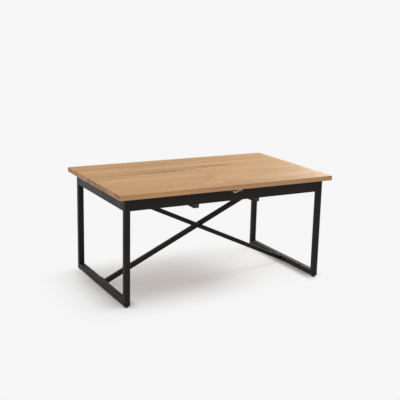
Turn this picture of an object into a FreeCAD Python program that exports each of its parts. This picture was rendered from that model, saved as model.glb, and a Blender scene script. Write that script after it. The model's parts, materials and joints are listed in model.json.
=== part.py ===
import FreeCAD, Part
import math
import os

from FreeCAD import Vector

# Extendable coffee table: two oak half tops that slide apart on a black steel frame, and a loose
# leaf that fills the gap. Millimetres. X runs along the table, Y from front to rear, Z up.
# The origin is on the floor under the middle of the table, which is shown closed.

# The whole table, closed
table_length = 1000.0
table_width = 600.0
table_height = 470.0
end_overhang = 30.0
side_overhang = 28.0

# Oak halves and leaf
top_thickness = 20.0
top_edge_ease = 0.8
top_gap = 2.0
seam_gap = 0.4

# Frame tubes
leg_width = 25.0
leg_depth = 20.0
top_rail_height = 50.0
bottom_rail_height = 24.0
tube_wall = 1.5
tube_corner = 2.0
apron_end_gap = 0.3

# Feet and the glides in the tops of the legs
foot_height = 7.0
foot_radius = 9.0
foot_ease = 2.0
plug_depth = 12.0
plug_fit = 0.15
glide_clearance = 0.2
glide_inset = 1.0

# Cross braces between the end frames
brace_size = 19.0
brace_top_drop = 18.0
brace_side_gap = 0.2
brace_plate_wall = 3.0
brace_plate_length = 60.0
brace_plate_height = 22.0

# Guide rails on the inner faces of the aprons
guide_wall = 1.5
guide_depth = 14.0
guide_lip = 4.0
stop_length = 7.5
stop_gap = 0.5
stop_fit = 0.3

# Rollers, axles and runners
roller_radius = 11.0
roller_width = 10.0
roller_play = 0.3
axle_radius = 3.0
axle_fit = 0.05
axle_drop = 18.0
axle_end_inset = 0.5
runner_wall = 2.0
runner_gap = 2.0
runner_drop = 30.0
runner_flange = 26.0
runner_seam_gap = 10.0
runner_margin = 20.0
runner_tail = 45.0

# Bars that carry the stored leaf
leaf_bar_width = 25.0
leaf_bar_height = 40.0
leaf_bar_spacing = 290.0
leaf_bar_gap = 2.2
leaf_side_gap = 10.0

# Angle brackets: at the frame's corners, and cleats at the ends of the bars
bracket_wall = 3.0
bracket_leg = 33.0
bracket_margin = 6.0
cleat_wall = 2.5
cleat_leg = 25.0
cleat_height = 17.0

# Flat tongues that line the boards up at the seams
tongue_width = 40.0
tongue_thickness = 6.0
tongue_reach = 9.0
tongue_seat = 16.0
tongue_taper = 3.0
tongue_fit = 0.3
tongue_share = 0.5

# Catch under the edge, at the seam
catch_setback = 10.0
catch_plate = 2.0
catch_gap = 0.5
hook_pivot_from_seam = 38.0
hook_pivot_drop = 7.0
hook_eye_radius = 5.0
hook_belly_drop = 8.0
hook_belly_from_seam = 16.0
hook_belly_rounding = 2.5
hook_nose_length = 3.2
hook_nose_height = 3.2
hook_throat = 1.6
keeper_from_seam = 3.5
keeper_radius = 1.5
keeper_play = 0.5
keeper_margin = 1.0
keeper_rise = 0.9
rivet_radius = 2.0
rivet_head_radius = 3.5
rivet_head_height = 1.2
rivet_fit = 0.05
catch_wall = 1.5
catch_flange = 18.0
catch_bracket_length = 26.0
keeper_bracket_length = 22.0

# How far a cutting tool runs past the face that it cuts
overrun = 5.0

# An edge counts as parallel to a direction when the sine of the angle between them is below this
parallel_sine = 1e-6

# Places that follow from the sizes above
half_length = table_length / 2
half_width = table_width / 2
top_underside = table_height - top_thickness
frame_top = top_underside - top_gap
frame_end = half_length - end_overhang
frame_side = half_width - side_overhang
rail_inner = frame_end - leg_width
apron_inner = frame_side - leg_depth
apron_bottom = frame_top - top_rail_height
axle_z = top_underside - axle_drop
guide_half_height = roller_radius + roller_play
guide_bottom = axle_z - guide_half_height - guide_wall
guide_mouth = apron_inner - guide_depth
guide_half_length = rail_inner - bracket_leg - bracket_wall
roller_mid_y = apron_inner - guide_depth / 2
runner_face = guide_mouth - runner_gap
runner_flange_edge = runner_face - runner_flange
leaf_length = 2 * (runner_flange_edge - leaf_side_gap)
travel = leaf_length / 2
outer_roller = guide_half_length - stop_length - stop_gap - roller_radius - travel
inner_roller = runner_seam_gap + runner_margin
runner_length = outer_roller + runner_tail - runner_seam_gap
leaf_bar_top = guide_bottom - leaf_bar_gap
leaf_bar_outer = (leaf_bar_spacing + leaf_bar_width) / 2
brace_plate_face = rail_inner - brace_plate_wall
brace_low = foot_height + bottom_rail_height / 2
brace_high = frame_top - brace_top_drop
bracket_height = top_rail_height - 2 * bracket_margin
tongue_place = half_width * tongue_share
hook_plane = half_width - catch_setback - catch_plate / 2
lug_face = hook_plane - catch_plate / 2 - catch_gap
nose_top = top_underside - hook_pivot_drop + hook_throat
keeper_height = nose_top + keeper_rise + keeper_radius

X, Y, Z = Vector(1, 0, 0), Vector(0, 1, 0), Vector(0, 0, 1)
SIDES = (("left", -1), ("right", 1))
EDGES = (("front", -1), ("rear", 1))
CORNERS = [(sx, sy) for _, sx in SIDES for _, sy in EDGES]
QUARTER = 90
HALF_TURN = 180
FULL_TURN = 360


# Shapes that many pieces share


def block(size_x, size_y, size_z, centre):
    return Part.makeBox(size_x, size_y, size_z, centre - Vector(size_x, size_y, size_z) / 2)


def long_edges(shape, direction):
    return [e for e in shape.Edges if e.tangentAt(e.FirstParameter).cross(direction).Length < parallel_sine]


def tube(width, depth, length):
    """Open rectangular tube along Z, centred on the axis, with rounded outer corners."""
    middle = length / 2 * Z
    solid = block(width, depth, length, middle)
    bore = block(width - 2 * tube_wall, depth - 2 * tube_wall, length + 2 * overrun, middle)
    return solid.makeFillet(tube_corner, long_edges(solid, Z)).cut(bore)


def tube_along_x(depth, height, length, centre):
    piece = tube(height, depth, length)
    piece.rotate(Vector(), Y, QUARTER)
    piece.translate(centre - length / 2 * X)
    return piece


def tube_along_y(width, height, length, centre):
    piece = tube(width, height, length)
    piece.rotate(Vector(), X, -QUARTER)
    piece.translate(centre - length / 2 * Y)
    return piece


def bent_sheet(inner_skin, wall, span):
    """Sheet folded along its inner skin, as wide as span; the side round the bends has more area."""
    line = Part.makePolygon(inner_skin)
    sides = [line.makeOffset2D(side, join=0, fill=True, openResult=True) for side in (wall, -wall)]
    outside = max(sides, key=lambda face: face.Area)
    return outside.Faces[0].extrude(span)


def plate(outline, thickness):
    """Flat plate with the given corners, as thick as the vector says."""
    return Part.Face(Part.makePolygon(outline + outline[:1])).extrude(thickness)


def rod(radius, start, reach):
    return Part.makeCylinder(radius, reach.Length, start, reach)


def turned(profile, start, axis):
    """Solid of revolution: the profile's points are (radius, distance along the axis)."""
    wire = Part.makePolygon([Vector(r, 0, h) for r, h in profile + profile[:1]])
    solid = Part.Face(wire).revolve(Vector(), Z, FULL_TURN)
    solid.Placement = FreeCAD.Placement(start, FreeCAD.Rotation(Z, axis))
    return solid


def on_left(shape):
    """The left half's twin of a piece of the right half, turned half round the middle."""
    twin = shape.copy()
    twin.rotate(Vector(), Z, HALF_TURN)
    return twin


# Frame


def leg_centre(sx, sy, z):
    return Vector(sx * (frame_end - leg_width / 2), sy * (frame_side - leg_depth / 2), z)


def leg(sx, sy):
    piece = tube(leg_width, leg_depth, frame_top - foot_height)
    piece.translate(leg_centre(sx, sy, foot_height))
    return piece


def leg_plug(centre):
    """Plug that fills a leg's bore with a little play."""
    play = 2 * (tube_wall + plug_fit)
    return block(leg_width - play, leg_depth - play, plug_depth, centre)


def feet():
    """Feet: a round button on the floor and a plug in the leg's open end."""
    profile = [(0, 0), (foot_radius - foot_ease, 0), (foot_radius, foot_ease),
               (foot_radius, foot_height), (0, foot_height)]
    pieces = []
    for sx, sy in CORNERS:
        button = turned(profile, leg_centre(sx, sy, 0), Z)
        pieces.append(button.fuse(leg_plug(leg_centre(sx, sy, foot_height + plug_depth / 2))))
    return Part.makeCompound(pieces)


def top_glides():
    """Caps in the open tops of the legs; the oak halves slide over them."""
    height = top_gap - glide_clearance
    pieces = []
    for sx, sy in CORNERS:
        cap = block(leg_width - 2 * glide_inset, leg_depth - 2 * glide_inset, height,
                    leg_centre(sx, sy, frame_top + height / 2))
        pieces.append(cap.fuse(leg_plug(leg_centre(sx, sy, frame_top - plug_depth / 2))))
    return Part.makeCompound(pieces)


def end_rail(sx, height, bottom):
    """Rail of an end frame, welded between its two legs."""
    centre = Vector(sx * (frame_end - leg_width / 2), 0, bottom + height / 2)
    return tube_along_y(leg_width, height, 2 * apron_inner, centre)


def apron(sy):
    centre = Vector(0, sy * (frame_side - leg_depth / 2), frame_top - top_rail_height / 2)
    return tube_along_x(leg_depth, top_rail_height, 2 * (rail_inner - apron_end_gap), centre)


def brace(rising):
    """Square tube from a bottom rail up to the opposite top rail, its ends cut upright."""
    rise, reach = brace_high - brace_low, 2 * brace_plate_face
    piece = tube_along_x(brace_size, brace_size, math.hypot(rise, reach) + 2 * brace_size, Vector())
    piece.rotate(Vector(), Y, -math.degrees(math.atan2(rise, reach)) * rising)
    piece.translate(Vector(0, brace_plane(rising), (brace_low + brace_high) / 2))
    return piece.common(block(reach, table_width, 2 * table_height, Vector()))


def brace_plane(rising):
    """Depth of a brace's middle: the two pass each other side by side."""
    return rising * (brace_size + brace_side_gap) / 2


def brace_plates():
    """Plates at the four ends of the braces, flat against the end frames' rails."""
    pieces = []
    for rising in (-1, 1):
        for sx in (-1, 1):
            height = brace_high if sx == rising else brace_low
            centre = Vector(sx * (rail_inner - brace_plate_wall / 2), brace_plane(rising), height)
            pieces.append(block(brace_plate_wall, brace_plate_length, brace_plate_height, centre))
    return Part.makeCompound(pieces)


def angle_bracket(corner, dir_a, dir_b, leg_size, wall, height):
    """Upright angle in a corner: legs along dir_a and dir_b, centred in height on the corner point."""
    start = corner - height / 2 * Z
    inner = start + wall * dir_a + wall * dir_b
    reach = leg_size - wall
    return bent_sheet([inner + reach * dir_a, inner, inner + reach * dir_b], wall, height * Z)


def corner_brackets():
    pieces = []
    for sx, sy in CORNERS:
        corner = Vector(sx * rail_inner, sy * apron_inner, (frame_top + apron_bottom) / 2)
        pieces.append(angle_bracket(corner, -sx * X, -sy * Y, bracket_leg, bracket_wall, bracket_height))
    return Part.makeCompound(pieces)


def leaf_bar(sx):
    """Crosswise bar between the aprons, below the guide rails, that the stored leaf lies on."""
    centre = Vector(sx * leaf_bar_spacing / 2, 0, leaf_bar_top - leaf_bar_height / 2)
    return tube_along_y(leaf_bar_width, leaf_bar_height, 2 * apron_inner, centre)


def leaf_bar_cleats():
    pieces = []
    for sx, sy in CORNERS:
        corner = Vector(sx * leaf_bar_outer, sy * apron_inner, (apron_bottom + leaf_bar_top) / 2)
        pieces.append(angle_bracket(corner, sx * X, -sy * Y, cleat_leg, cleat_wall, cleat_height))
    return Part.makeCompound(pieces)


# Guide rails


def guide_rail(sy):
    """Rolled C section with lips at its mouth; the rollers run inside it."""
    low, high = axle_z - guide_half_height, axle_z + guide_half_height
    web, mouth = apron_inner - guide_wall, guide_mouth + guide_wall
    lip = guide_lip - guide_wall
    skin = [(mouth, low + lip), (mouth, low), (web, low), (web, high), (mouth, high), (mouth, high - lip)]
    points = [Vector(-guide_half_length, sy * y, z) for y, z in skin]
    return bent_sheet(points, guide_wall, 2 * guide_half_length * X)


def guide_stops():
    """Rubber blocks that close the ends of the guide rails and stop the outer rollers."""
    depth = guide_depth - 2 * (guide_wall + stop_fit)
    height = 2 * (guide_half_height - stop_fit)
    pieces = []
    for sx, sy in CORNERS:
        centre = Vector(sx * (guide_half_length - stop_length / 2), sy * roller_mid_y, axle_z)
        pieces.append(block(stop_length, depth, height, centre))
    return Part.makeCompound(pieces)


# Right half: the left one has the same pieces, turned half round the middle


def runner(sy):
    """Angle under the oak: a flange against the wood, and an upright that carries the axles."""
    bend = Vector(runner_seam_gap, sy * (runner_face - runner_wall), top_underside - runner_wall)
    skin = [bend - sy * (runner_flange - runner_wall) * Y, bend, bend - (runner_drop - runner_wall) * Z]
    piece = bent_sheet(skin, runner_wall, runner_length * X)
    for place in (inner_roller, outer_roller):
        piece = piece.cut(rod(axle_radius, Vector(place, 0, axle_z), sy * half_width * Y))
    return piece


def roller_axles():
    """Pins pressed into the runners' uprights, flush with their inner faces."""
    start = runner_face - runner_wall
    end = roller_mid_y + roller_width / 2 - axle_end_inset
    pins = []
    for _, sy in EDGES:
        for place in (inner_roller, outer_roller):
            pins.append(rod(axle_radius, Vector(place, sy * start, axle_z), sy * (end - start) * Y))
    return Part.makeCompound(pins)


def rollers(place):
    """Nylon rollers at one place along the half, in the front and the rear guide rail."""
    bore, half = axle_radius + axle_fit, roller_width / 2
    profile = [(bore, -half), (roller_radius, -half), (roller_radius, half), (bore, half)]
    centres = [Vector(place, sy * roller_mid_y, axle_z) for _, sy in EDGES]
    return Part.makeCompound([turned(profile, centre, Y) for centre in centres])


def half_top():
    """Oak half, from the seam to the table's end, with slots for its own tongue and the other half's."""
    length = half_length - seam_gap / 2
    centre = Vector(seam_gap / 2 + length / 2, 0, top_underside + top_thickness / 2)
    piece = block(length, table_width, top_thickness, centre)
    piece = piece.makeChamfer(top_edge_ease, piece.Edges)
    return slotted(piece, Vector(seam_gap / 2, 0, centre.z), -X)


def slotted(board, edge_middle, out):
    """Board with two slots in an edge: one for its own tongue, one for the other board's."""
    along = Z.cross(out)
    own = tongue(edge_middle + tongue_place * along, out)
    guest = tongue_slot(edge_middle - tongue_place * along, out)
    return board.cut(own).cut(guest)


def tongue(mouth, out):
    """Flat tongue seated in the edge at mouth, standing out towards the other board."""
    along = Z.cross(out)
    half, tip = tongue_width / 2, tongue_width / 2 - tongue_taper
    outline = [(-tongue_seat, -half), (tongue_reach - tongue_taper, -half), (tongue_reach, -tip),
               (tongue_reach, tip), (tongue_reach - tongue_taper, half), (-tongue_seat, half)]
    low = mouth - tongue_thickness / 2 * Z
    return plate([low + u * out + v * along for u, v in outline], tongue_thickness * Z)


def tongue_slot(mouth, out):
    """Slot that takes the other board's tongue, with play all round."""
    length, width = 2 * (tongue_reach + tongue_fit), tongue_width + 2 * tongue_fit
    size = length * out + width * Z.cross(out)
    return block(abs(size.x), abs(size.y), tongue_thickness + 2 * tongue_fit, mouth)


def seam_tongue():
    z = top_underside + top_thickness / 2
    return tongue(Vector(seam_gap / 2, 0, z) + tongue_place * Z.cross(-X), -X)


# Catch: hook and bracket at the front of the right half, keeper at its rear


def hook_pivot():
    return Vector(hook_pivot_from_seam, -hook_plane, top_underside - hook_pivot_drop)


def catch_hook():
    """Hook plate, shown dropped clear of the keeper pin: eye, vee-shaped belly and upturned nose."""
    pivot = hook_pivot()
    front = pivot - catch_plate / 2 * Y
    throat_right = keeper_radius + keeper_play - keeper_from_seam
    throat_left = -keeper_radius - keeper_play - keeper_from_seam
    floor = nose_top - hook_nose_height
    nose_bottom = floor - hook_throat
    outline = [
        (pivot.x, pivot.z + hook_eye_radius), (throat_right, nose_top), (throat_right, floor),
        (throat_left, floor), (throat_left, nose_top),
        (throat_left - hook_nose_length, nose_bottom + hook_nose_height / 2), (throat_left, nose_bottom),
        (hook_belly_from_seam, pivot.z - hook_belly_drop), (pivot.x, pivot.z - hook_eye_radius),
    ]
    piece = plate([Vector(x, front.y, z) for x, z in outline], catch_plate * Y)
    belly = [e for e in long_edges(piece, Y) if abs(e.Vertexes[0].X - hook_belly_from_seam) < catch_gap]
    piece = piece.makeFillet(hook_belly_rounding, belly)
    piece = piece.fuse(rod(hook_eye_radius, front, catch_plate * Y)).removeSplitter()
    return piece.cut(rod(rivet_radius + rivet_fit, front - overrun * Y, 2 * overrun * Y))


def lug_angle(start, length, face, drop):
    """Small angle: upright lug with its outer skin on the given face, flange running inwards."""
    inwards = -math.copysign(1, face) * Y
    bend = Vector(start, face, top_underside - catch_wall) + catch_wall * inwards
    skin = [bend - (drop - catch_wall) * Z, bend, bend + (catch_flange - catch_wall) * inwards]
    return bent_sheet(skin, catch_wall, length * X)


def catch_bracket():
    """Angle under the overhang: flange against the oak, lug that carries the hook's rivet."""
    pivot = hook_pivot()
    start = pivot.x - catch_bracket_length / 2
    piece = lug_angle(start, catch_bracket_length, -lug_face, hook_pivot_drop + hook_eye_radius)
    return piece.cut(rod(rivet_radius, pivot, (catch_plate + catch_gap + catch_wall) * Y))


def catch_rivet():
    """Rivet that the hook turns on: head in front of the hook, fast and flush in the lug."""
    front = catch_plate / 2 + catch_gap / 2
    back = -catch_plate / 2 - catch_gap - catch_wall
    return turned([
        (0, front + rivet_head_height), (rivet_head_radius, front + rivet_head_height),
        (rivet_head_radius, front), (rivet_radius, front), (rivet_radius, back), (0, back),
    ], hook_pivot(), -Y)


def catch_keeper():
    """Keeper at the rear of the right half: an angle whose lug carries the pin for the other hook."""
    margin = keeper_radius + keeper_margin
    drop = top_underside - keeper_height + margin
    angle = lug_angle(keeper_from_seam - margin, keeper_bracket_length, lug_face, drop)
    return angle.cut(keeper_pin())


def keeper_pin():
    """Pin pressed into the keeper's lug, flush with its back, that the other half's hook takes."""
    start = Vector(keeper_from_seam, lug_face - catch_wall, keeper_height)
    return rod(keeper_radius, start, (catch_wall + catch_plate + 2 * catch_gap) * Y)


# Leaf, stored crosswise on its bars


def leaf():
    """Loose oak leaf, stored with its seam edges to the front and the rear."""
    centre = Vector(0, 0, leaf_bar_top + top_thickness / 2)
    piece = block(table_width, leaf_length, top_thickness, centre)
    piece = piece.makeChamfer(top_edge_ease, piece.Edges)
    for _, sy in EDGES:
        piece = slotted(piece, Vector(0, sy * travel, centre.z), sy * Y)
    return piece


def leaf_tongues():
    middle = (leaf_bar_top + top_thickness / 2) * Z
    pieces = []
    for _, sy in EDGES:
        out = sy * Y
        pieces.append(tongue(middle + travel * out + tongue_place * Z.cross(out), out))
    return Part.makeCompound(pieces)


# Every piece by name


def frame_pieces():
    pieces = {}
    for side, sx in SIDES:
        for edge, sy in EDGES:
            pieces[side + "_" + edge + "_leg"] = leg(sx, sy)
        pieces[side + "_top_rail"] = end_rail(sx, top_rail_height, apron_bottom)
        pieces[side + "_bottom_rail"] = end_rail(sx, bottom_rail_height, foot_height)
        pieces[side + "_leaf_bar"] = leaf_bar(sx)
    for edge, sy in EDGES:
        pieces[edge + "_apron"] = apron(sy)
        pieces[edge + "_guide_rail"] = guide_rail(sy)
        pieces[edge + "_brace"] = brace(sy)
    pieces["leg_feet"] = feet()
    pieces["leg_top_glides"] = top_glides()
    pieces["brace_end_plates"] = brace_plates()
    pieces["corner_brackets"] = corner_brackets()
    pieces["leaf_bar_cleats"] = leaf_bar_cleats()
    pieces["guide_rail_stops"] = guide_stops()
    return pieces


def half_pieces():
    """Pieces of the right half; {near} and {far} stand for front and rear, which swap on the left."""
    return {
        "half_top": half_top(),
        "{near}_runner": runner(-1),
        "{far}_runner": runner(1),
        "roller_axles": roller_axles(),
        "inner_rollers": rollers(inner_roller),
        "outer_rollers": rollers(outer_roller),
        "seam_tongue": seam_tongue(),
    }


def catch_pieces():
    return {
        "{near}_catch_hook": catch_hook(),
        "{near}_catch_bracket": catch_bracket(),
        "{near}_catch_rivet": catch_rivet(),
        "{far}_catch_keeper": catch_keeper(),
        "{far}_keeper_pin": keeper_pin(),
    }


def table_pieces():
    pieces = frame_pieces()
    for name, shape in half_pieces().items():
        pieces["right_" + name.format(near="front", far="rear")] = shape
        pieces["left_" + name.format(near="rear", far="front")] = on_left(shape)
    for name, shape in catch_pieces().items():
        pieces[name.format(near="front", far="rear")] = shape
        pieces[name.format(near="rear", far="front")] = on_left(shape)
    pieces["extension_leaf"] = leaf()
    pieces["leaf_tongues"] = leaf_tongues()
    return pieces


os.makedirs("parts", exist_ok=True)
for name, shape in table_pieces().items():
    shape.exportStep("parts/" + name + ".step")
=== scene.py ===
import json
import math

import bmesh
import bpy
from mathutils import Matrix, Vector


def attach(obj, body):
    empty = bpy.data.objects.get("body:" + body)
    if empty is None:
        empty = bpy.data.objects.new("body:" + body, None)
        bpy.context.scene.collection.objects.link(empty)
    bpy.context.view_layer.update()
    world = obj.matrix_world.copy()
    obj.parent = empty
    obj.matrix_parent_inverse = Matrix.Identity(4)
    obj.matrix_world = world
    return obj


# Looks of the extendable coffee table, in metres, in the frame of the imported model: X along the
# table, Y from front to rear, Z up, and the floor at zero.

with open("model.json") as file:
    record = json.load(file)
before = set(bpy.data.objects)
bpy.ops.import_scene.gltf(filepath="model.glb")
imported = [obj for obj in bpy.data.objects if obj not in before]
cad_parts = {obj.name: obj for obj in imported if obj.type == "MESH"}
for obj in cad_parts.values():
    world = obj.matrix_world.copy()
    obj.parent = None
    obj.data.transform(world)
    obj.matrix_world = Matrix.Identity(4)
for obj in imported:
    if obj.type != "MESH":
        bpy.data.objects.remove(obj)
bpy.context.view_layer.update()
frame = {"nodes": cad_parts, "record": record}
nodes = frame["nodes"]
MM = 0.001
CORNERS = [(sx, sy) for sx in (-1, 1) for sy in (-1, 1)]


# Node trees


class Tree:
    """A node tree with one short call per node: inputs are constants or other nodes' outputs."""

    def __init__(self, tree):
        self.tree = tree

    def add(self, kind, values=(), settings=(), out=0):
        node = self.tree.nodes.new("ShaderNode" + kind)
        for key, value in dict(settings).items():
            setattr(node, key, value)
        for key, value in dict(values).items():
            self.feed(node.inputs[key], value)
        return node.outputs[out]

    def feed(self, socket, value):
        if isinstance(value, bpy.types.NodeSocket):
            self.tree.links.new(value, socket)
        else:
            socket.default_value = value

    def math(self, operation, *terms, clamp=False):
        return self.add("Math", enumerate(terms), {"operation": operation, "use_clamp": clamp})

    def plus(self, a, b):
        return self.math("ADD", a, b)

    def minus(self, a, b):
        return self.math("SUBTRACT", a, b)

    def times(self, first, *others):
        product = first
        for factor in others:
            product = self.math("MULTIPLY", product, factor)
        return product

    def vector(self, x, y, z):
        return self.add("CombineXYZ", {0: x, 1: y, 2: z})

    def split(self, vector):
        return self.add("SeparateXYZ", {0: vector}).node.outputs

    def noise(self, vector, scale=1.0, detail=2.0, roughness=0.5):
        values = {"Vector": vector, "Scale": scale, "Detail": detail, "Roughness": roughness}
        return self.add("TexNoise", values)

    def mix(self, share, a, b, blend="MIX"):
        settings = {"data_type": "RGBA", "blend_type": blend}
        return self.add("Mix", {0: share, 6: a, 7: b}, settings, out=2)

    def band(self, value, low, high, to_low=0.0, to_high=1.0):
        """value between low and high, smoothly spread over to_low to to_high."""
        return self.add("MapRange", {"Value": value, 1: low, 2: high, 3: to_low, 4: to_high},
                        {"interpolation_type": "SMOOTHSTEP"})

    def fall(self, value, low, high, to_high=0.0):
        """One below low, falling smoothly to to_high at high."""
        return self.band(value, low, high, 1.0, to_high)


class Finish(Tree):
    """A Principled material; position is the place on the piece at rest, so that patterns move with it."""

    def __init__(self, name, roughness=0.5, metallic=0.0, specular=0.5):
        self.material = bpy.data.materials.new(name)
        self.material.use_nodes = True
        super().__init__(self.material.node_tree)
        self.shader = self.tree.nodes["Principled BSDF"]
        self.set("Metallic", metallic)
        self.set("Specular IOR Level", specular)
        self.set("Roughness", roughness)
        self.position = self.add("TexCoord", out=3)

    def set(self, socket, value):
        self.feed(self.shader.inputs[socket], value)

    def bump(self, height, distance, strength=1.0):
        values = {"Height": height, "Distance": distance, "Strength": strength}
        self.set("Normal", self.add("Bump", values))


def grey(level):
    return (level, level, level, 1.0)


# Camera: the photograph's viewpoint

image_width = 400
sensor_width = 36.0
camera_place = Vector((-1.653, -3.075, 1.191))
camera_yaw = math.radians(-28.37)
camera_pitch = math.radians(-13.69)
camera_roll = math.radians(1.33)
focal_pixels = 808.5
view_depth = 100.0


def add_camera():
    data = bpy.data.cameras.new("camera")
    data.sensor_width = sensor_width
    data.lens = focal_pixels / image_width * sensor_width
    data.clip_end = view_depth
    camera = bpy.data.objects.new("camera", data)
    bpy.context.scene.collection.objects.link(camera)
    turn = Matrix.Rotation(camera_yaw, 4, "Z") @ Matrix.Rotation(math.pi / 2 + camera_pitch, 4, "X")
    camera.matrix_world = Matrix.Translation(camera_place) @ turn @ Matrix.Rotation(camera_roll, 4, "Z")
    bpy.context.scene.camera = camera


# Light: each lamp's name, place, side of its square and power

lamps = [
    ("key_softbox", (2.5, 1.0, 2.3), 1.6, 48.0),
    ("fill_softbox", (-2.6, -1.6, 1.8), 1.6, 8.0),
    ("rim_softbox", (3.6, 3.1, 1.3), 1.0, 38.0),
    ("low_softbox", (-1.1, 1.8, 0.3), 0.5, 3.6),
]
lamp_aim = Vector((0.0, 0.0, 0.3))
backdrop_level = 0.925
world_level = 0.74


def add_area_light(name, place, size, power):
    data = bpy.data.lights.new(name, "AREA")
    data.shape = "SQUARE"
    data.size = size
    data.energy = power
    lamp = bpy.data.objects.new(name, data)
    bpy.context.scene.collection.objects.link(lamp)
    lamp.visible_camera = False
    turn = (lamp_aim - Vector(place)).to_track_quat("-Z", "Y").to_matrix().to_4x4()
    lamp.matrix_world = Matrix.Translation(place) @ turn


def seen_rays(tree):
    """One where a camera, glossy or transmission ray looks, and zero for the light itself."""
    path = tree.add("LightPath").node.outputs
    seen = tree.plus(path["Is Camera Ray"], path["Is Glossy Ray"])
    return tree.math("ADD", seen, path["Is Transmission Ray"], clamp=True)


def add_world():
    """Even light all round, with a paler backdrop where the camera and the reflections look."""
    world = bpy.data.worlds.new("studio")
    world.use_nodes = True
    tree = Tree(world.node_tree)
    background = world.node_tree.nodes["Background"]
    tree.feed(background.inputs["Color"], grey(1.0))
    level = tree.math("MULTIPLY_ADD", seen_rays(tree), backdrop_level - world_level, world_level)
    tree.feed(background.inputs["Strength"], level)
    bpy.context.scene.world = world


# Floor: the spans in which the table's shadow sets in and runs out, along X at its left and right
# and along Y at its front and rear, and those of the darker shadows under the two bottom rails.
# shadow_thinned is what is left past shadow_thins, and shadow_lean how far the front and rear lean
# back for each metre to the right.

floor_size = 24.0
floor_albedo = 0.925
floor_roughness = 0.9
shadow_left = (-0.74, -0.33)
shadow_thins = (-0.10, 0.39)
shadow_thinned = 0.39
shadow_right = (0.48, 0.53)
shadow_front = (-0.40, -0.067)
shadow_rear = (0.214, 0.412)
shadow_lean = 0.096
left_rail_sets_in = (-0.66, -0.44)
left_rail_runs_out = (-0.43, -0.36)
right_rail_sets_in = (0.377, 0.444)
right_rail_share = 0.88
rail_shadow_front = (-0.35, -0.21)
rail_shadow_rear = (0.06, 0.37)


def add_floor():
    """Pale floor that takes the table's shadow near it and runs out evenly into the backdrop."""
    half = floor_size / 2
    corners = [(-half, -half, 0), (half, -half, 0), (half, half, 0), (-half, half, 0)]
    mesh = bpy.data.meshes.new("floor")
    mesh.from_pydata(corners, [], [(0, 1, 2, 3)])
    floor = bpy.data.objects.new("floor", mesh)
    bpy.context.scene.collection.objects.link(floor)

    f = Finish("pale_floor", roughness=floor_roughness, specular=0.0)
    f.set("Base Color", grey(floor_albedo))
    along, depth, _ = f.split(f.position)
    leaning = f.minus(depth, f.times(along, shadow_lean))
    table = f.times(f.band(along, *shadow_left), f.fall(along, *shadow_thins, shadow_thinned),
                    f.band(leaning, *shadow_front), f.fall(leaning, *shadow_rear))
    left = f.times(f.band(along, *left_rail_sets_in), f.fall(along, *left_rail_runs_out))
    right = f.band(along, *right_rail_sets_in, 0.0, right_rail_share)
    rails = f.times(f.math("MAXIMUM", left, right), f.band(depth, *rail_shadow_front),
                    f.fall(depth, *rail_shadow_rear))
    near = f.times(f.math("MAXIMUM", table, rails), f.fall(along, *shadow_right))
    glow = f.add("Emission", {"Color": grey(backdrop_level)})
    mixed = f.add("MixShader", {0: near, 1: glow, 2: f.shader.outputs[0]})
    f.feed(f.tree.nodes["Material Output"].inputs["Surface"], mixed)
    mesh.materials.append(f.material)


# Wood: colours

oak_pale = (0.640, 0.376, 0.139, 1.0)
oak_mid = (0.552, 0.308, 0.108, 1.0)
oak_deep = (0.395, 0.200, 0.070, 1.0)
oak_red = (0.480, 0.242, 0.096, 1.0)
oak_ray = (0.700, 0.450, 0.230, 1.0)
oak_heart = (0.275, 0.124, 0.038, 1.0)
oak_pore = (0.200, 0.095, 0.038, 1.0)
oak_rim = (0.520, 0.350, 0.260, 1.0)
edge_tint = (0.910, 0.860, 1.000, 1.0)
end_pale = (0.422, 0.226, 0.124, 1.0)
end_dark = (0.248, 0.130, 0.076, 1.0)
end_grey = (0.480, 0.345, 0.252, 1.0)
beech_pale = (0.62, 0.43, 0.27, 1.0)
beech_mid = (0.56, 0.37, 0.22, 1.0)
beech_deep = (0.45, 0.27, 0.15, 1.0)

# Wood: height of the table's top, the span of height in which an edge's lower tint runs out, and
# sizes of the grain. The pith of a stave lies below the board, some staves to its side at most, and
# askew by up to half of pith_askew for each metre.
top_face = 0.47
lower_rim = (0.452, 0.468)
oak_stave = 0.0745
beech_stave = 0.09
ring_width = 0.0034
ring_waver = 0.0032
pith_waver = 0.030
pith_low = 0.365
pith_rise = 0.06
pith_askew = 0.11
pith_staves_away = 2.4
grain_relief = 0.00004
ring_relief_share = 0.25

# Wood: what sets one stave apart from the next
first_stave_share = 0.27
tone_seed, hue_seed, slope_seed = 3.7, 1.3, 2.9
stave_jump = 3.17

# Wood: spans of one ring in which the late wood sets in and runs out and the early wood runs out
late_sets_in = (0.15, 0.75)
late_runs_out = (0.86, 1.0)
early_runs_out = (0.10, 0.45)

# Wood: noise drawn out along the grain, as its scales along and across the grain and its detail
slow_waver = (2.6, 5.0, 2.0)
quick_waver = (11.0, 70.0, 3.0)
clouds = (3.2, 12.0, 2.0)
flames = (1.6, 34.0, 3.0)
ray_flecks = (130.0, 420.0, 1.0)
pore_dashes = (60.0, 1500.0, 1.0)
fibre_lines = (8.0, 360.0, 3.0)

# Wood: what is laid over a stave's own tone, as the span of the pattern that counts and its strength
hue_cast = (0.35, 1.0, 0.30)
cloud_cast = (0.40, 0.68, 0.75)
flame_cast = (0.42, 0.68, 0.52)
fibre_cast = (0.3, 0.7, 0.22)
ray_cast = (0.68, 0.76, 0.22)
glue_cast = (0.496, 0.5, 0.4)
late_strength = 0.52
pore_strength = 0.55
rim_strength = 0.20
tone_shares = (0.05, 0.95)
pore_span = (0.50, 0.61)
early_pore_share = 0.85
facing_span = (0.6, 0.9)

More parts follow.
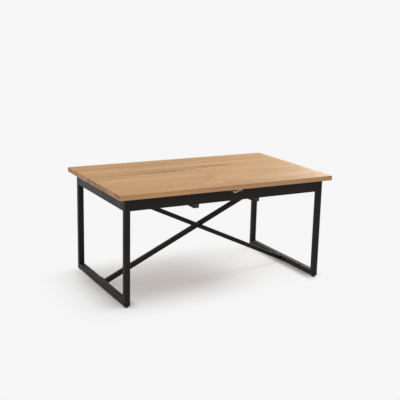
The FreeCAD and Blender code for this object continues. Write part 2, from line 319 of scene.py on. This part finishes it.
# Wood: end grain, with its blotches' scales across and down and their detail, and its speckle's
blotches = (26.0, 45.0, 1.0)
speckles = (1100.0, 2.0)
end_tone_span = (0.1, 0.9)
blotch_span = (0.42, 0.66)
blotch_strength = 0.20
blotch_rim_strength = 0.50
end_late_strength = 0.30
speckle_cast = (0.45, 0.75, 0.40)

# Wood: roughness of the faces, from bare wood to full pores and fibres, and of the end grain
wood_roughness = (0.48, 0.72)
rough_span = (0.0, 1.4)
fibre_rough_share = 0.4
end_roughness = 0.95
wood_specular = 0.20

# Single streaks: middle and half length along the grain, place and half width across it, strength
# and colour
streak_core_share = 0.35
streak_waver = 0.03
left_streaks = [
    (-0.17, 0.15, 0.053, 0.019, 0.95, oak_heart),
    (-0.07, 0.13, 0.075, 0.020, 0.38, oak_heart),
    (-0.28, 0.45, 0.080, 0.055, 0.20, oak_heart),
    (-0.41, 0.16, 0.046, 0.015, 0.38, oak_heart),
    (-0.25, 0.50, -0.057, 0.050, 0.30, oak_ray),
    (-0.34, 0.16, -0.047, 0.007, 0.60, oak_ray),
    (-0.25, 0.09, -0.100, 0.007, 0.50, oak_ray),
    (-0.45, 0.16, -0.285, 0.030, 0.20, oak_heart),
    (-0.26, 0.46, 0.212, 0.032, 0.26, oak_heart),
    (-0.20, 0.42, 0.140, 0.024, 0.28, oak_ray),
    (-0.16, 0.22, 0.006, 0.024, 0.32, oak_ray),
]
right_streaks = [
    (0.12, 0.12, 0.093, 0.015, 0.95, oak_heart),
    (0.02, 0.09, 0.085, 0.030, 0.20, oak_heart),
    (0.10, 0.22, 0.100, 0.060, 0.16, oak_heart),
    (0.32, 0.20, 0.020, 0.016, 0.20, oak_heart),
    (0.06, 0.10, -0.170, 0.008, 0.45, oak_ray),
    (0.08, 0.22, -0.120, 0.036, 0.28, oak_ray),
    (0.12, 0.34, 0.142, 0.026, 0.30, oak_ray),
    (0.12, 0.34, 0.243, 0.022, 0.16, oak_heart),
    (0.02, 0.18, -0.025, 0.034, 0.15, oak_heart),
    (0.490, 0.06, -0.302, 0.015, 0.40, oak_heart),
]


def wood(name, seed, pale, mid, deep, across="Y", stave=oak_stave, streaks=()):
    """Solid staves side by side, each cut from its own place in the tree, with rings, pores and flecks.

    across is the axis that crosses the staves; streaks are rows as in the tables above.
    """
    f = Finish(name, specular=wood_specular)
    x, y, depth = f.split(f.position)
    along, side = (x, y) if across == "Y" else (y, x)

    # Each stave has its own number, and from it its own tone, hue and pith line
    counted = f.plus(f.math("DIVIDE", side, stave), seed + first_stave_share)
    number = f.math("FLOOR", counted)
    off_middle = f.minus(f.math("FRACT", counted), 0.5)
    inside = f.times(off_middle, stave)
    tone, hue, slope = (f.add("TexWhiteNoise", {"W": f.plus(number, seed * n)}, {"noise_dimensions": "1D"})
                        for n in (tone_seed, hue_seed, slope_seed))
    offset = f.times(number, stave_jump)

    def stretched(along_scale, side_scale, detail):
        """Noise drawn out along the grain, different in each stave and at each depth."""
        below = f.plus(f.times(f.minus(depth, top_face), side_scale), offset)
        beside = f.math("MULTIPLY_ADD", side, side_scale, seed)
        return f.noise(f.vector(f.times(along, along_scale), beside, below), detail=detail)

    def lined(along_scale, side_scale, detail):
        """Noise of lines or dashes along the grain, the same all through the board."""
        beside, below = f.times(side, side_scale), f.times(depth, side_scale)
        return f.noise(f.vector(f.times(along, along_scale), beside, below), detail=detail)

    def cast(pattern, low, high, strength):
        """Share of a colour that is laid on where the pattern goes from low to high."""
        return f.times(f.band(pattern, low, high), strength)

    # Rings round a pith that runs beside or below the stave, a little askew to it and wavering
    pith_side = f.times(f.minus(tone, 0.5), pith_staves_away * stave)
    askew = f.times(along, f.times(f.minus(slope, 0.5), pith_askew))
    pith_height = f.plus(f.times(hue, pith_rise), pith_low)
    beside_pith = f.plus(f.minus(inside, pith_side), f.times(stretched(*slow_waver), pith_waver))
    above_pith = f.plus(f.minus(depth, pith_height), askew)
    radius = f.math("SQRT", f.plus(f.math("POWER", beside_pith, 2.0), f.math("POWER", above_pith, 2.0)))
    radius = f.plus(radius, f.times(stretched(*quick_waver), ring_waver))
    ring = f.math("FRACT", f.math("DIVIDE", radius, ring_width))
    late = f.minus(f.band(ring, *late_sets_in), f.band(ring, *late_runs_out))
    early = f.minus(1.0, f.band(ring, *early_runs_out))

    # Pores are short dark dashes along the grain, dense in the early wood; rays are pale flecks
    early_pores = f.plus(f.times(early, early_pore_share), 1 - early_pore_share)
    pores = f.times(f.band(lined(*pore_dashes), *pore_span), early_pores)
    fibres = lined(*fibre_lines)
    flame = stretched(*flames)

    # The stave's own tone, and over it what is darker, redder or paler
    colour = f.mix(f.band(tone, 0.0, 1.0, *tone_shares), pale, mid)
    for share, over in (
        (cast(hue, *hue_cast), deep),
        (cast(stretched(*clouds), *cloud_cast), oak_red),
        (cast(flame, *flame_cast), deep),
        (f.times(late, late_strength), deep),
        (cast(fibres, *fibre_cast), pale),
        (cast(stretched(*ray_flecks), *ray_cast), oak_ray),
    ):
        colour = f.mix(share, colour, over)
    for *shape, streak_colour in streaks:
        colour = f.mix(streak_share(f, along, side, flame, *shape), colour, streak_colour)
    colour = f.mix(f.times(pores, pore_strength), colour, oak_pore)

    # Long edges are tinted, and once more low down; glue lines run between the staves
    facing_x, facing_y, _ = f.split(f.add("TexCoord", out=1))
    end_facing, edge_facing = (facing_x, facing_y) if across == "Y" else (facing_y, facing_x)
    edge = f.band(f.math("ABSOLUTE", edge_facing), *facing_span)
    rim = f.fall(depth, *lower_rim)
    colour = f.mix(edge, colour, edge_tint, blend="MULTIPLY")
    colour = f.mix(f.times(edge, f.times(rim, rim_strength)), colour, oak_rim)
    colour = f.mix(cast(f.math("ABSOLUTE", off_middle), *glue_cast), colour, oak_pore)

    # End grain, where the fibres end: rings, open pores, and grey blotches that are denser low down
    end = f.band(f.math("ABSOLUTE", end_facing), *facing_span)
    side_scale, depth_scale, blotch_detail = blotches
    blotch_place = f.vector(offset, f.times(side, side_scale), f.times(depth, depth_scale))
    blotch = f.band(f.noise(blotch_place, detail=blotch_detail), *blotch_span)
    greyed = f.plus(f.times(rim, blotch_rim_strength), blotch_strength)
    end_colour = f.mix(f.band(hue, *end_tone_span), end_pale, end_dark)
    for share, over in (
        (f.times(blotch, greyed), end_grey),
        (f.times(late, end_late_strength), end_dark),
        (cast(f.noise(f.position, *speckles), *speckle_cast), oak_pore),
    ):
        end_colour = f.mix(share, end_colour, over)

    f.set("Base Color", f.mix(end, colour, end_colour))
    rough = f.band(f.plus(pores, f.times(fibres, fibre_rough_share)), *rough_span, *wood_roughness)
    f.set("Roughness", f.math("MAXIMUM", rough, f.times(end, end_roughness)))
    f.bump(f.minus(f.times(late, ring_relief_share), pores), grain_relief)
    return f.material


def streak_share(f, along, side, flame, middle, half_length, place, half_width, strength):
    """Share of one long thin streak that fades to its ends and sides and wavers with the flames."""
    down = f.math("ABSOLUTE", f.math("DIVIDE", f.minus(along, middle), half_length))
    off = f.plus(f.minus(side, place), f.times(f.minus(flame, 0.5), streak_waver))
    off = f.math("ABSOLUTE", f.math("DIVIDE", off, half_width))
    return f.times(f.fall(down, streak_core_share, 1.0), f.fall(off, 0.0, 1.0), strength)


# Metal, plastic and rubber: colours

coat_dark = (0.0080, 0.0056, 0.0038, 1.0)
coat_light = (0.0120, 0.0086, 0.0062, 1.0)
coat_dust = grey(0.03)
zinc_pale = (0.60, 0.61, 0.63, 1.0)
zinc_dark = (0.46, 0.47, 0.50, 1.0)
# Yellow zinc: its dark brown is painted shade, as dark as the shade under the oak's overhang where the
# hook plates hang
shaded_yellow_pale = (0.150, 0.094, 0.056, 1.0)
shaded_yellow_dark = (0.105, 0.064, 0.037, 1.0)
wire_pale = (0.93, 0.86, 0.76, 1.0)
wire_dark = (0.80, 0.72, 0.62, 1.0)
oxide_pale = (0.075, 0.072, 0.070, 1.0)
oxide_dark = (0.045, 0.043, 0.042, 1.0)
nylon_pale = (0.72, 0.71, 0.67, 1.0)
nylon_dark = (0.62, 0.61, 0.57, 1.0)

# Powder coat: its gloss, the span and strength of its dust, and the peel's part in its roughness
coat_specular = 0.17
dust_span = (0.70, 0.78)
dust_strength = 0.2
peel_rough_share = 0.5
coat_rough_span = (0.4, 1.1)
coat_roughness = (0.50, 0.64)
peel_relief = 0.000012

# Plated sheet: how far its rolling lines are drawn out, and the spans of its patches and roughness
rolled_stretch = (0.05, 1.0, 1.0)
plated_patch_span = (0.3, 0.7)
plated_rough_span = (0.6, 1.4)
rolled_relief = 0.00002

# Plastic and rubber
moulded_rough_span = (0.3, 0.7)
moulded_relief = 0.00004
soft_bump = 0.5


def powder_coat():
    """Satin black powder coat: a fine orange peel, with a little dust in it."""
    f = Finish("black_powder_coat", specular=coat_specular)
    peel = f.noise(f.position, scale=900.0)
    patch = f.noise(f.position, scale=14.0, detail=3.0)
    dust = f.band(f.noise(f.position, scale=2600.0, detail=0.0), *dust_span)
    coat = f.mix(patch, coat_dark, coat_light)
    rough = f.plus(f.times(peel, peel_rough_share), patch)
    f.set("Base Color", f.mix(f.times(dust, dust_strength), coat, coat_dust))
    f.set("Roughness", f.band(rough, *coat_rough_span, *coat_roughness))
    f.bump(peel, peel_relief)
    return f.material


def plated(name, pale, dark, patch_scale=220.0, roughness=(0.26, 0.42)):
    """Plated sheet: a patchy passivated skin over fine rolling lines."""
    f = Finish(name, metallic=1.0)
    lines = f.add("Mapping", {"Vector": f.position, "Scale": rolled_stretch})
    rolled = f.noise(lines, scale=1800.0)
    patch = f.noise(f.position, patch_scale, detail=3.0, roughness=0.6)
    f.set("Base Color", f.mix(f.band(patch, *plated_patch_span), dark, pale))
    f.set("Roughness", f.band(f.plus(patch, rolled), *plated_rough_span, *roughness))
    f.bump(rolled, rolled_relief, strength=soft_bump)
    return f.material


def moulded(name, dark, pale, roughness=(0.42, 0.58), specular=0.45):
    """Moulded plastic or rubber with a fine spark-eroded grain."""
    f = Finish(name, specular=specular)
    grain = f.noise(f.position, scale=2400.0)
    patch = f.noise(f.position, scale=60.0)
    f.set("Base Color", f.mix(patch, dark, pale))
    f.set("Roughness", f.band(grain, *moulded_rough_span, *roughness))
    f.bump(grain, moulded_relief, strength=soft_bump)
    return f.material


oak_left = wood("oak_left_half", 5.0, oak_pale, oak_mid, oak_deep, streaks=left_streaks)
oak_right = wood("oak_right_half", 11.0, oak_pale, oak_mid, oak_deep, streaks=right_streaks)
oak_leaf = wood("oak_leaf", 23.0, oak_pale, oak_mid, oak_deep, across="X")
beech = wood("beech_tongue", 31.0, beech_pale, beech_mid, beech_deep, stave=beech_stave)
black_coat = powder_coat()
zinc = plated("zinc_plate", zinc_pale, zinc_dark)
# Yellow zinc with painted shade in its colours, for the hook plates under the overhang and the catch
# screws
yellow_zinc = plated("yellow_zinc_painted_shade", shaded_yellow_pale, shaded_yellow_dark, 420.0, roughness=(0.34, 0.48))
bright_wire = plated("bright_wire", wire_pale, wire_dark, 500.0, roughness=(0.22, 0.34))
black_oxide = plated("black_oxide_screw", oxide_pale, oxide_dark, 400.0)
black_nylon = moulded("black_nylon", grey(0.012), grey(0.020))
white_nylon = moulded("white_nylon", nylon_dark, nylon_pale, roughness=(0.34, 0.48))
rubber = moulded("black_rubber", grey(0.014), grey(0.026), roughness=(0.70, 0.85), specular=0.3)


def finish_nodes():
    by_slot = {"black_steel": black_coat, "zinc_steel": zinc, "yellow_zinc": yellow_zinc,
               "black_nylon": black_nylon, "white_nylon": white_nylon, "rubber": rubber,
               "tongue_wood": beech}
    by_node = {"left_half_top": oak_left, "right_half_top": oak_right, "extension_leaf": oak_leaf}
    for entry in frame["record"]["subparts"]:
        name = entry["node"]
        mesh = nodes[name].data
        mesh.materials.clear()
        mesh.materials.append(by_node.get(name) or by_slot[entry["material_slot"]])


# Hardware, in millimetres until its meshes are made: faces and middles of the solids that carry it

apron_face = 252.0
end_face = 445.0
top_rail_mid = 423.0
oak_underside = 450.0
axle_height = 432.0
bar_mid = 145.0
bar_side = 157.5
bar_height = 397.0
cleat_height = 407.5
brace_plane = 9.6
brace_half = 9.5
brace_low = 19.0
brace_high = 430.0
runner_mid = 222.0
runner_face = 234.0
catch_flange_mid = 277.75
catch_mid = 38.0
keeper_mid = 12.0
pivot_height = 443.0

# Walls that the hardware lies on, and how far it stands from a corner or from its neighbour
bracket_wall = 3.0
bracket_bolt_in = 19.0
bracket_bolt_rise = 11.0
cleat_wall = 2.5
cleat_bolt_in = 13.75
plate_wall = 3.0
plate_bolt_step = 22.0
weld_length = 20.0
rail_wall = 1.5
rail_screw_pitch = 190.75
runner_wall = 2.0
runner_screws = (25.0, 90.0, 155.0, 220.0)
axles = (30.0, 190.0)
catch_wall = 1.5
catch_screw_step = 7.0
keeper_screw_step = 5.0

# Profiles turned round an axis: the outline of each ring, its radius and its height
button_bolt = [("round", 5.0, 0.0), ("round", 5.25, 0.35), ("round", 5.1, 1.2), ("round", 4.5, 2.3),
               ("round", 3.4, 3.1), ("round", 2.7, 3.3), ("hex", 2.0, 3.2), ("hex", 1.95, 1.2),
               ("hex", 0.6, 0.8)]
pan_screw = [("round", 3.3, 0.0), ("round", 3.5, 0.4), ("round", 3.3, 1.2), ("round", 2.7, 1.8),
             ("round", 2.2, 2.0), ("cross", 1.9, 2.0), ("cross", 1.1, 0.7), ("cross", 0.4, 0.4)]
flush_screw = [("round", 3.6, 0.0), ("round", 3.5, 0.2), ("round", 2.4, 0.38), ("cross", 1.9, 0.38),
               ("cross", 1.4, 0.1)]
rivet_head = [("round", 4.6, 0.0), ("round", 4.6, 0.5), ("round", 4.2, 1.1), ("round", 3.1, 1.6),
              ("round", 1.5, 1.85), ("round", 0.4, 1.9)]
dome_bolt = [("round", 8.0, 0.0), ("round", 8.2, 0.5), ("round", 7.6, 1.8), ("round", 6.0, 3.1),
             ("round", 3.6, 4.0), ("round", 1.2, 4.3)]
nut_and_end = [("round", 8.6, 0.0), ("round", 8.8, 0.2), ("round", 8.8, 1.4), ("round", 8.6, 1.6),
               ("round", 6.3, 1.6), ("hex", 6.5, 2.1), ("hex", 6.5, 7.4), ("round", 6.3, 8.0),
               ("round", 4.0, 8.0), ("round", 4.0, 9.6), ("round", 3.4, 10.2)]
turn_steps = 24
cross_arm = 0.3
spot_turn = 2.4
sharp_angle = math.radians(32)

# Weld beads: radius, shares of it at the ends and between puddles, puddles and rings in each
bead_radius = 1.5
bead_tip_share = 0.5
bead_low_share = 0.82
bead_puddles = 9
puddle_rings = 5

# Plugs of the leaf bars: half sizes, and their rings' inset from these and height over the bar's end
plug_half_width = 11.0
plug_half_height = 18.5
plug_corner = 1.6
plug_face = 251.8
plug_rings = [(1.4, -10.0), (0.2, -8.5), (0.2, -0.7), (0.9, 0.0), (2.6, 0.0), (3.3, -0.8)]
corner_steps = 4

# Hook wires: a vee from the hook's nose, as X and Z of its bends, and an open coil round the pivot
wire_vee = [(6.9, 442.2), (8.2, 440.6), (11.4, 438.2), (14.3, 436.4), (16.4, 436.4), (19.0, 437.6),
            (25.0, 440.8), (31.0, 444.2)]
wire_radius = 1.25
wire_plane = 290.7
wire_roundness = 3
coil_radius = 5.0
coil_start = 118
coil_turn = 110
coil_steps = 5


def weld_bead(length):
    """Rings of a fillet weld laid in a corner: a thin rod with a ripple for each puddle."""
    rings = [("round", bead_radius * bead_tip_share, 0.0)]
    count = bead_puddles * puddle_rings
    for i in range(1, count):
        ripple = abs(math.sin(math.pi * i / puddle_rings))
        swell = bead_low_share + (1 - bead_low_share) * ripple
        rings.append(("round", bead_radius * swell, length * i / count))
    return rings + [("round", bead_radius * bead_tip_share, length)]


def reach(shape, size, angle):
    """How far the outline of a ring lies from the axis, at an angle round it."""
    if shape == "hex":
        return size / math.cos((angle + math.pi / 6) % (math.pi / 3) - math.pi / 6)
    if shape == "cross":
        off = abs((angle + math.pi / 4) % (math.pi / 2) - math.pi / 4)
        return size / max(math.cos(off), math.sin(off) / cross_arm)
    return size


def facing(place, out):
    """Frame at a place in millimetres whose Z points out, with its Y up where that can be."""
    turn = Vector(out).to_track_quat("Z", "Y").to_matrix().to_4x4()
    return Matrix.Translation(Vector(place) * MM) @ turn


def add_rings(bm, place, rings):
    """Closed solid through rings of one axis, each given as shape, size and height in millimetres."""
    angles = [2 * math.pi * i / turn_steps for i in range(turn_steps)]
    loops = []
    for shape, size, height in rings:
        sizes = [reach(shape, size, a) for a in angles]
        points = [(r * math.cos(a), r * math.sin(a), height) for r, a in zip(sizes, angles)]
        loops.append([bm.verts.new(place @ (Vector(point) * MM)) for point in points])
    close_rings(bm, loops)


def close_rings(bm, loops):
    """Skin from each loop of points to the next, and a face over the first and the last."""
    count = len(loops[0])
    for low, high in zip(loops, loops[1:]):
        for i in range(count):
            j = (i + 1) % count
            bm.faces.new((low[i], low[j], high[j], high[i]))
    bm.faces.new(loops[0][::-1])
    bm.faces.new(loops[-1])


def add_piece(name, data, body, material):
    data.materials.append(material)
    piece = bpy.data.objects.new(name, data)
    bpy.context.scene.collection.objects.link(piece)
    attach(piece, body)


def add_solid(name, bm, body, material):
    mesh = bpy.data.meshes.new(name)
    bm.to_mesh(mesh)
    bm.free()
    mesh.shade_smooth()
    mesh.set_sharp_from_angle(angle=sharp_angle)
    add_piece(name, mesh, body, material)


def add_turned(name, body, material, rings, spots):
    """One piece with the same turned solid at each spot: a place in millimetres and the way it faces."""
    bm = bmesh.new()
    for i, (place, out) in enumerate(spots):
        add_rings(bm, facing(place, out) @ Matrix.Rotation(i * spot_turn, 4, "Z"), rings)
    add_solid(name, bm, body, material)


def rounded_outline(half_width, half_height, corner):
    points = []
    for cx, cy, start in ((1, 1, 0), (-1, 1, 1), (-1, -1, 2), (1, -1, 3)):
        for i in range(corner_steps + 1):
            a = (start + i / corner_steps) * math.pi / 2
            points.append((cx * (half_width - corner) + corner * math.cos(a),
                           cy * (half_height - corner) + corner * math.sin(a)))
    return points


def add_bar_plugs():
    """Plastic plugs pressed into the open ends of the leaf bars, with a dished face."""
    bm = bmesh.new()
    for sx, sy in CORNERS:
        place = facing((sx * bar_mid, sy * plug_face, bar_height), (0, sy, 0))
        loops = []
        for inset, height in plug_rings:
            outline = rounded_outline(plug_half_width - inset, plug_half_height - inset, plug_corner)
            loops.append([bm.verts.new(place @ (Vector((x, y, height)) * MM)) for x, y in outline])
        close_rings(bm, loops)
    add_solid("leaf_bar_plugs", bm, "frame", black_nylon)


def add_hook_wires():
    """Bright spring wire on the face of each hook plate: a vee that ends in a coil round the rivet."""
    path = list(wire_vee)
    for step in range(coil_steps + 1):
        angle = math.radians(coil_start - coil_turn * step / coil_steps)
        path.append((catch_mid + coil_radius * math.cos(angle),
                     pivot_height + coil_radius * math.sin(angle)))
    for edge, turn in (("front", 1), ("rear", -1)):
        curve = bpy.data.curves.new(edge + "_hook_wire", "CURVE")
        curve.dimensions = "3D"
        curve.bevel_depth = wire_radius * MM
        curve.bevel_resolution = wire_roundness
        curve.use_fill_caps = True
        spline = curve.splines.new("BEZIER")
        spline.bezier_points.add(len(path) - 1)
        for point, (x, z) in zip(spline.bezier_points, path):
            point.co = Vector((turn * x, -turn * wire_plane, z)) * MM
            point.handle_left_type = point.handle_right_type = "AUTO"
        add_piece(curve.name, curve, edge + "_catch", bright_wire)


def add_frame_hardware():
    bracket, cleat, plate, rail, weld = [], [], [], [], []
    for sx, sy in CORNERS:
        inwards, across = (-sx, 0, 0), (0, -sy, 0)
        for rise in (-bracket_bolt_rise, bracket_bolt_rise):
            z = top_rail_mid + rise
            on_apron = (sx * (end_face - bracket_bolt_in), sy * (apron_face - bracket_wall), z)
            on_rail = (sx * (end_face - bracket_wall), sy * (apron_face - bracket_bolt_in), z)
            bracket += [(on_apron, across), (on_rail, inwards)]
        on_apron = (sx * (bar_side + cleat_bolt_in), sy * (apron_face - cleat_wall), cleat_height)
        on_bar = (sx * (bar_side + cleat_wall), sy * (apron_face - cleat_bolt_in), cleat_height)
        cleat += [(on_apron, across), (on_bar, (sx, 0, 0))]
        x = sx * (end_face - plate_wall)
        z = brace_high if sx == sy else brace_low
        for step in (-plate_bolt_step, plate_bolt_step):
            plate.append(((x, sy * brace_plane + step, z), inwards))
        for side in (-brace_half, brace_half):
            weld.append(((x, sy * brace_plane + side, z - weld_length / 2), (0, 0, 1)))
    for sy in (-1, 1):
        y = sy * (apron_face - rail_wall)
        rail += [((i * rail_screw_pitch, y, axle_height), (0, -sy, 0)) for i in range(-2, 3)]
    crossing_face = brace_plane + brace_half
    crossing_height = (brace_low + brace_high) / 2
    front = [((0, -crossing_face, crossing_height), (0, -1, 0))]
    rear = [((0, crossing_face, crossing_height), (0, 1, 0))]
    add_turned("corner_bracket_bolts", "frame", black_oxide, button_bolt, bracket)
    add_turned("cleat_bolts", "frame", black_oxide, button_bolt, cleat)
    add_turned("brace_plate_bolts", "frame", black_oxide, button_bolt, plate)
    add_turned("brace_welds", "frame", black_coat, weld_bead(weld_length), weld)
    add_turned("guide_rail_screws", "frame", zinc, flush_screw, rail)
    add_turned("brace_crossing_bolt", "frame", black_coat, dome_bolt, front)
    add_turned("brace_crossing_nut", "frame", black_coat, nut_and_end, rear)


def add_half_hardware(side, half):
    """Hardware of the right half, or with half at -1 its twin, turned half round the middle."""
    body = side + "_top"
    down = (0, 0, -1)
    runner, axle, catch = [], [], []
    for sy in (-1, 1):
        z = oak_underside - runner_wall
        runner += [((half * x, sy * runner_mid, z), down) for x in runner_screws]
        axle += [((half * x, sy * runner_face, axle_height), (0, -sy, 0)) for x in axles]
    for edge, middle, step in ((-1, catch_mid, catch_screw_step), (1, keeper_mid, keeper_screw_step)):
        y, z = half * edge * catch_flange_mid, oak_underside - catch_wall
        catch += [((half * x, y, z), down) for x in (middle - step, middle + step)]
    add_turned(side + "_runner_screws", body, zinc, pan_screw, runner)
    add_turned(side + "_axle_heads", body, zinc, rivet_head, axle)
    # The catch screws share the yellow zinc and its painted shade
    add_turned(side + "_catch_screws", body, yellow_zinc, pan_screw, catch)


add_camera()
add_world()
for lamp in lamps:
    add_area_light(*lamp)
add_floor()
finish_nodes()
add_frame_hardware()
add_bar_plugs()
add_hook_wires()
add_half_hardware("left", -1)
add_half_hardware("right", 1)

bpy.context.scene.view_settings.view_transform = "Standard"
